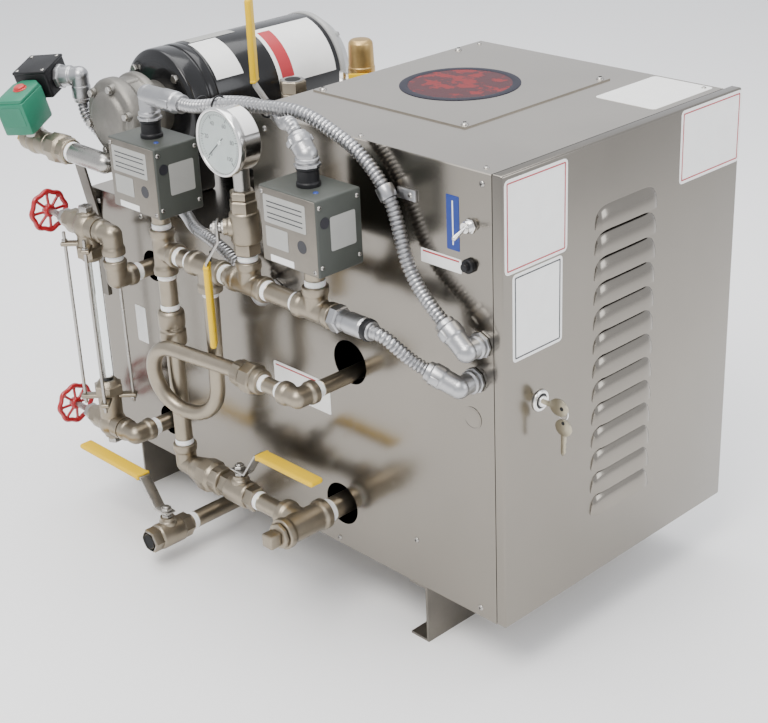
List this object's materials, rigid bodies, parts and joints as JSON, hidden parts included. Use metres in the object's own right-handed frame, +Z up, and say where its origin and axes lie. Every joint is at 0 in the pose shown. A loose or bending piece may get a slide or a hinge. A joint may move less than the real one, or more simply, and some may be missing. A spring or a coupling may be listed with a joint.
{
  "type": "small electric steam boiler",
  "caption": "Compact electric steam boiler: stainless cabinet on legs, with pipework, gauge glass, feed pump and pressure controls.",
  "frame": {"origin": "on the floor, under the middle of the whole machine", "axes": "+Z up, +X out of the door, -Y out of the pipework wall"},
  "size_m": [0.8666, 0.513, 0.676],
  "materials": {
    "stainless_sheet": "satin brushed sheet",
    "stainless_fitting": "satin cast and pipe",
    "vessel_steel": "matt",
    "lever_grip": "plastic-dipped steel",
    "zinc_casting": "bright die casting and galvanised strip",
    "chrome": "polished",
    "control_case": "semi-gloss",
    "handwheel_red": "gloss",
    "clear_glass": "clear",
    "cast_bronze": "as cast",
    "motor_black": "gloss",
    "motor_grey": "semi-gloss",
    "valve_brass": "satin",
    "coil_green": "semi-gloss",
    "black_plastic": "matt"
  },
  "bodies": {
    "cabinet": {"ball_valves": "stainless_fitting", "base_pan": "stainless_sheet", "blowdown_tee": "stainless_fitting", "column": "stainless_fitting", "conduit_connectors": "zinc_casting", "conduit_strap": "zinc_casting", "conduits": "zinc_casting", "cross_walls": "stainless_sheet", "deck": "stainless_sheet", "drain_pipe": "stainless_fitting", "feed_elbow": "stainless_fitting", "glass_elbows": "stainless_fitting", "glass_valves": "stainless_fitting", "guard_rods": "stainless_fitting", "hinge_leaves": "stainless_sheet", "junction_box": "black_plastic", "legs": "stainless_sheet", "motor": "motor_black", "motor_adaptor": "motor_black", "motor_end": "motor_grey", "nipples": "stainless_fitting", "pipe_bracket": "stainless_sheet", "pipework_wall": "stainless_sheet", "pressure_controls": "control_case", "pressure_gauge": "chrome", "pressure_vessel": "vessel_steel", "pump_head": "cast_bronze", "rear_wall": "stainless_sheet", "relief_valve": "valve_brass", "run_tees": "stainless_fitting", "sight_glass": "clear_glass", "siphon_elbow": "stainless_fitting", "siphon_pipe": "stainless_fitting", "solenoid_coil": "coil_green", "solenoid_valve": "valve_brass", "switch_bushings": "chrome", "top_cover": "stainless_sheet", "top_panel": "stainless_sheet", "unions": "stainless_fitting"},
    "door": {"door": "stainless_sheet"},
    "lock": {"lock": "chrome"},
    "toggle_lever": {"toggle_lever": "chrome"},
    "reset_button": {"reset_button": "black_plastic"},
    "gauge_lever": {"gauge_lever": "lever_grip"},
    "blowdown_lever": {"blowdown_lever": "lever_grip"},
    "drain_lever": {"drain_lever": "lever_grip"},
    "steam_lever": {"steam_lever": "lever_grip"},
    "upper_handwheel": {"upper_handwheel": "handwheel_red"},
    "lower_handwheel": {"lower_handwheel": "handwheel_red"},
    "relief_lever": {"relief_lever": "lever_grip"}
  },
  "joints": [
    {"name": "door_hinge", "type": "hinge", "parent": "cabinet", "child": "door", "pos_m": [0.3733, 0.2485, 0.328], "axis": [0, 0, 1], "range_deg": [0, 105]},
    {"name": "lock_turn", "type": "hinge", "parent": "door", "child": "lock", "pos_m": [0.3883, -0.0785, 0.328], "axis": [1, 0, 0], "range_deg": [0, 90]},
    {"name": "toggle", "type": "hinge", "parent": "cabinet", "child": "toggle_lever", "pos_m": [0.3473, -0.1395, 0.524], "axis": [-1, 0, 0], "range_deg": [0, 40]},
    {"name": "reset_push", "type": "slide", "parent": "cabinet", "child": "reset_button", "axis": [0, 1, 0], "range_m": [0, 0.003]},
    {"name": "gauge_valve_turn", "type": "hinge", "parent": "cabinet", "child": "gauge_lever", "pos_m": [0.0733, -0.1945, 0.476], "axis": [-0.7071, -0.7071, 0], "range_deg": [0, 90]},
    {"name": "blowdown_valve_turn", "type": "hinge", "parent": "cabinet", "child": "blowdown_lever", "pos_m": [0.0243, -0.1945, 0.13], "axis": [0, 0, -1], "range_deg": [0, 90]},
    {"name": "drain_valve_turn", "type": "hinge", "parent": "cabinet", "child": "drain_lever", "pos_m": [-0.0917, -0.2255, 0.04], "axis": [0, 0, 1], "range_deg": [0, 90]},
    {"name": "steam_valve_turn", "type": "hinge", "parent": "cabinet", "child": "steam_lever", "pos_m": [-0.0347, -0.0235, 0.536], "axis": [0.8, 0.6, 0], "range_deg": [0, 90]},
    {"name": "upper_wheel_turn", "type": "hinge", "parent": "cabinet", "child": "upper_handwheel", "pos_m": [-0.3337, -0.1885, 0.399], "axis": [-1, 0, 0], "range_deg": [0, 540]},
    {"name": "lower_wheel_turn", "type": "hinge", "parent": "cabinet", "child": "lower_handwheel", "pos_m": [-0.3337, -0.1885, 0.126], "axis": [-1, 0, 0], "range_deg": [0, 540]},
    {"name": "relief_test", "type": "hinge", "parent": "cabinet", "child": "relief_lever", "pos_m": [-0.09677, 0.12943, 0.546], "axis": [0.7071, -0.7071, 0], "range_deg": [0, 20]}
  ]
}
